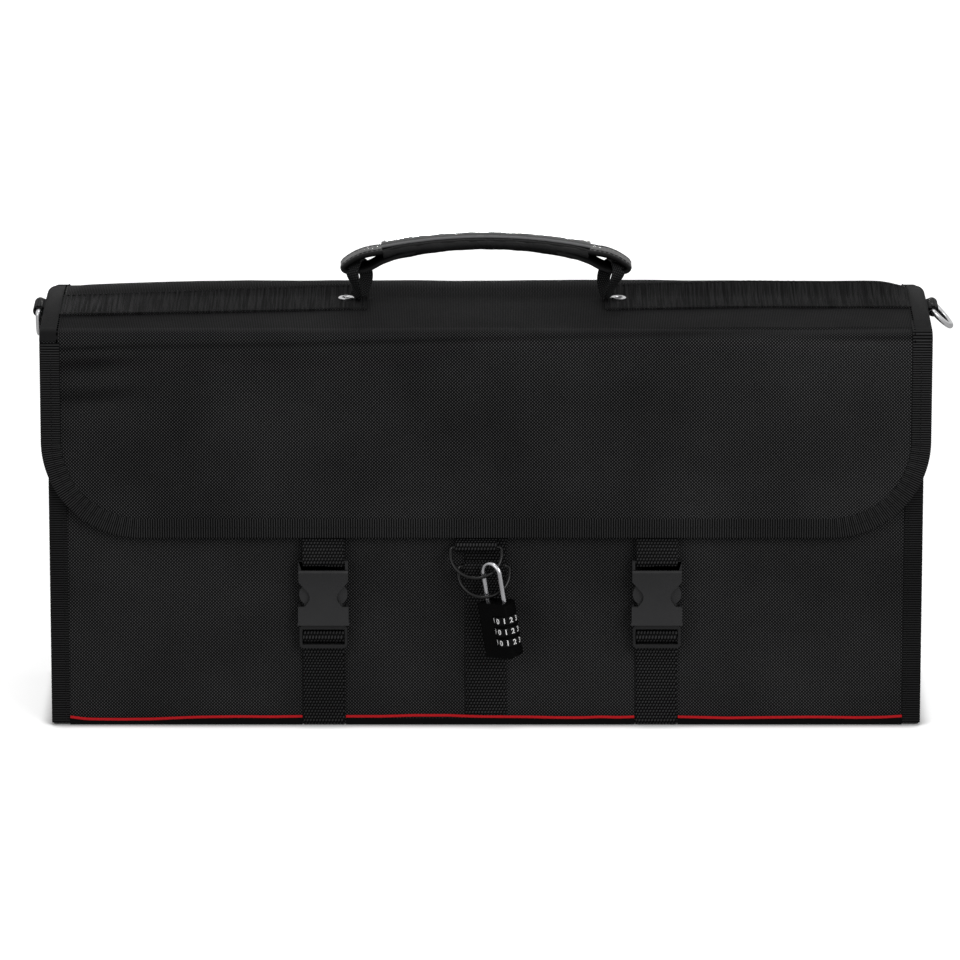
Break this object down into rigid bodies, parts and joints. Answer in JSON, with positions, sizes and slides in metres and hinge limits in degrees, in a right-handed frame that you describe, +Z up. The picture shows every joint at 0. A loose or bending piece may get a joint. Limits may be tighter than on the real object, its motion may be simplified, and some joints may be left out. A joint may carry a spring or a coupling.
{
  "type": "knife case",
  "caption": "Board-stiffened fabric knife case with hinged lid, front flap, side-release buckles, padlocked ring hasp and carrying handle.",
  "frame": {"origin": "middle of the case's footprint on the ground, midway between the end panels and between the front and back panels", "axes": "+X along the case's length to its right seen from the front, -Y out of the front, +Z up"},
  "size_m": [0.5579, 0.1445, 0.2908],
  "materials": {
    "cloth": "black plain-weave nylon over stiff board",
    "binding_tape": "ribbed black binding tape",
    "webbing": "black polypropylene webbing",
    "lining": "dark grey smooth lining cloth",
    "elastic": "black knitted elastic",
    "piping": "red covered piping cord",
    "buckle_plastic": "matt black moulded plastic",
    "leather": "smooth black leather with edge stitching",
    "black_wire": "black lacquered steel wire",
    "bright_metal": "bright nickel",
    "chrome": "polished chrome",
    "lock_black": "glossy black lacquer on die-cast metal",
    "dial_black": "black dials with white digits"
  },
  "bodies": {
    "case": {"bottom_panel": "cloth", "front_panel": "cloth", "back_panel": "cloth", "left_end_panel": "cloth", "right_end_panel": "cloth", "lining": "lining", "front_left_binding": "binding_tape", "front_right_binding": "binding_tape", "back_left_binding": "binding_tape", "back_right_binding": "binding_tape", "front_piping": "piping", "left_lower_strap": "webbing", "right_lower_strap": "webbing", "centre_strap": "webbing", "lower_ring_tab": "webbing", "left_buckle_frame": "buckle_plastic", "right_buckle_frame": "buckle_plastic", "rear_hinge_tape": "binding_tape", "leaf_hinge_tape": "binding_tape", "back_blade_sleeve": "lining", "back_elastic_bands": "elastic"},
    "lid": {"lid_panel": "cloth", "lid_left_binding": "binding_tape", "lid_right_binding": "binding_tape", "left_top_strip": "webbing", "right_top_strip": "webbing", "left_eyelet": "bright_metal", "right_eyelet": "bright_metal", "left_ring_tab": "webbing", "right_ring_tab": "webbing"},
    "flap": {"flap_panel": "cloth", "flap_binding": "binding_tape", "left_upper_strap": "webbing", "right_upper_strap": "webbing", "left_buckle_socket": "buckle_plastic", "right_buckle_socket": "buckle_plastic", "upper_ring_tab": "webbing"},
    "handle": {"handle_strap": "leather", "grip_sleeve": "leather", "left_handle_loop": "webbing", "right_handle_loop": "webbing"},
    "upper_ring": {"upper_ring": "black_wire"},
    "lower_ring": {"lower_ring": "black_wire"},
    "left_side_ring": {"left_side_ring": "bright_metal"},
    "right_side_ring": {"right_side_ring": "bright_metal"},
    "shackle": {"shackle": "chrome"},
    "padlock": {"padlock_body": "lock_black", "dial_spindle": "bright_metal"},
    "top_dial": {"top_dial": "dial_black"},
    "middle_dial": {"middle_dial": "dial_black"},
    "bottom_dial": {"bottom_dial": "dial_black"},
    "left_buckle_left_prong": {"left_buckle_left_prong": "buckle_plastic"},
    "left_buckle_right_prong": {"left_buckle_right_prong": "buckle_plastic"},
    "right_buckle_left_prong": {"right_buckle_left_prong": "buckle_plastic"},
    "right_buckle_right_prong": {"right_buckle_right_prong": "buckle_plastic"},
    "knife_leaf": {"knife_leaf": "lining", "leaf_blade_sleeve": "lining", "leaf_elastic_bands": "elastic"}
  },
  "joints": [
    {"name": "lid_hinge", "type": "hinge", "parent": "case", "child": "lid", "pos_m": [0, 0.0553, 0.2437], "axis": [-1, 0, 0], "range_deg": [0, 150]},
    {"name": "flap_hinge", "type": "hinge", "parent": "lid", "child": "flap", "pos_m": [0, -0.0621, 0.238], "axis": [-1, 0, 0], "range_deg": [0, 145]},
    {"name": "handle_swing", "type": "hinge", "parent": "lid", "child": "handle", "pos_m": [0, 0.012, 0.25168], "axis": [1, 0, 0], "range_deg": [-45, 45]},
    {"name": "lower_ring_swing", "type": "hinge", "parent": "case", "child": "lower_ring", "pos_m": [-0.0012, -0.0635, 0.1015], "axis": [-1, 0, 0], "range_deg": [0, 36]},
    {"name": "upper_ring_swing", "type": "hinge", "parent": "flap", "child": "upper_ring", "pos_m": [-0.006, -0.0635, 0.1135], "axis": [-1, 0, 0], "range_deg": [0, 36]},
    {"name": "shackle_swing", "type": "hinge", "parent": "lower_ring", "child": "shackle", "pos_m": [-0.0012, -0.07407, 0.08523], "axis": [-1, 0, 0], "range_deg": [-36, 0]},
    {"name": "padlock_release", "type": "slide", "parent": "shackle", "child": "padlock", "axis": [0.1564, 0, -0.9877], "range_m": [0, 0.008]},
    {"name": "top_dial_turn", "type": "hinge", "parent": "padlock", "child": "top_dial", "pos_m": [0.01158, -0.07826, 0.07328], "axis": [-0.1564, 0, 0.9877], "continuous": true},
    {"name": "middle_dial_turn", "type": "hinge", "parent": "padlock", "child": "middle_dial", "pos_m": [0.01266, -0.07826, 0.06647], "axis": [-0.1564, 0, 0.9877], "continuous": true},
    {"name": "bottom_dial_turn", "type": "hinge", "parent": "padlock", "child": "bottom_dial", "pos_m": [0.01374, -0.07826, 0.05965], "axis": [-0.1564, 0, 0.9877], "continuous": true},
    {"name": "left_buckle_left_squeeze", "type": "hinge", "parent": "case", "child": "left_buckle_left_prong", "pos_m": [-0.106, -0.0634, 0.07], "axis": [0, 1, 0], "range_deg": [0, 12], "stiffness_Nm_per_rad": 0.3},
    {"name": "left_buckle_right_squeeze", "type": "hinge", "parent": "case", "child": "left_buckle_right_prong", "pos_m": [-0.09, -0.0634, 0.07], "axis": [0, -1, 0], "range_deg": [0, 12], "stiffness_Nm_per_rad": 0.3},
    {"name": "right_buckle_left_squeeze", "type": "hinge", "parent": "case", "child": "right_buckle_left_prong", "pos_m": [0.095, -0.0634, 0.07], "axis": [0, 1, 0], "range_deg": [0, 12], "stiffness_Nm_per_rad": 0.3},
    {"name": "right_buckle_right_squeeze", "type": "hinge", "parent": "case", "child": "right_buckle_right_prong", "pos_m": [0.111, -0.0634, 0.07], "axis": [0, -1, 0], "range_deg": [0, 12], "stiffness_Nm_per_rad": 0.3},
    {"name": "left_side_ring_swing", "type": "hinge", "parent": "lid", "child": "left_side_ring", "pos_m": [-0.27075, 0.012, 0.2437], "axis": [0, 1, 0], "range_deg": [-8, 150]},
    {"name": "right_side_ring_swing", "type": "hinge", "parent": "lid", "child": "right_side_ring", "pos_m": [0.27075, 0.012, 0.2437], "axis": [0, -1, 0], "range_deg": [-53, 105]},
    {"name": "leaf_tilt", "type": "hinge", "parent": "case", "child": "knife_leaf", "pos_m": [0, 0.016, 0.0094], "axis": [1, 0, 0], "range_deg": [0, 22]}
  ],
  "couplings": [
    {"joint": "upper_ring_swing", "follows": "lower_ring_swing", "ratio": 1},
    {"joint": "shackle_swing", "follows": "lower_ring_swing", "ratio": -1}
  ]
}
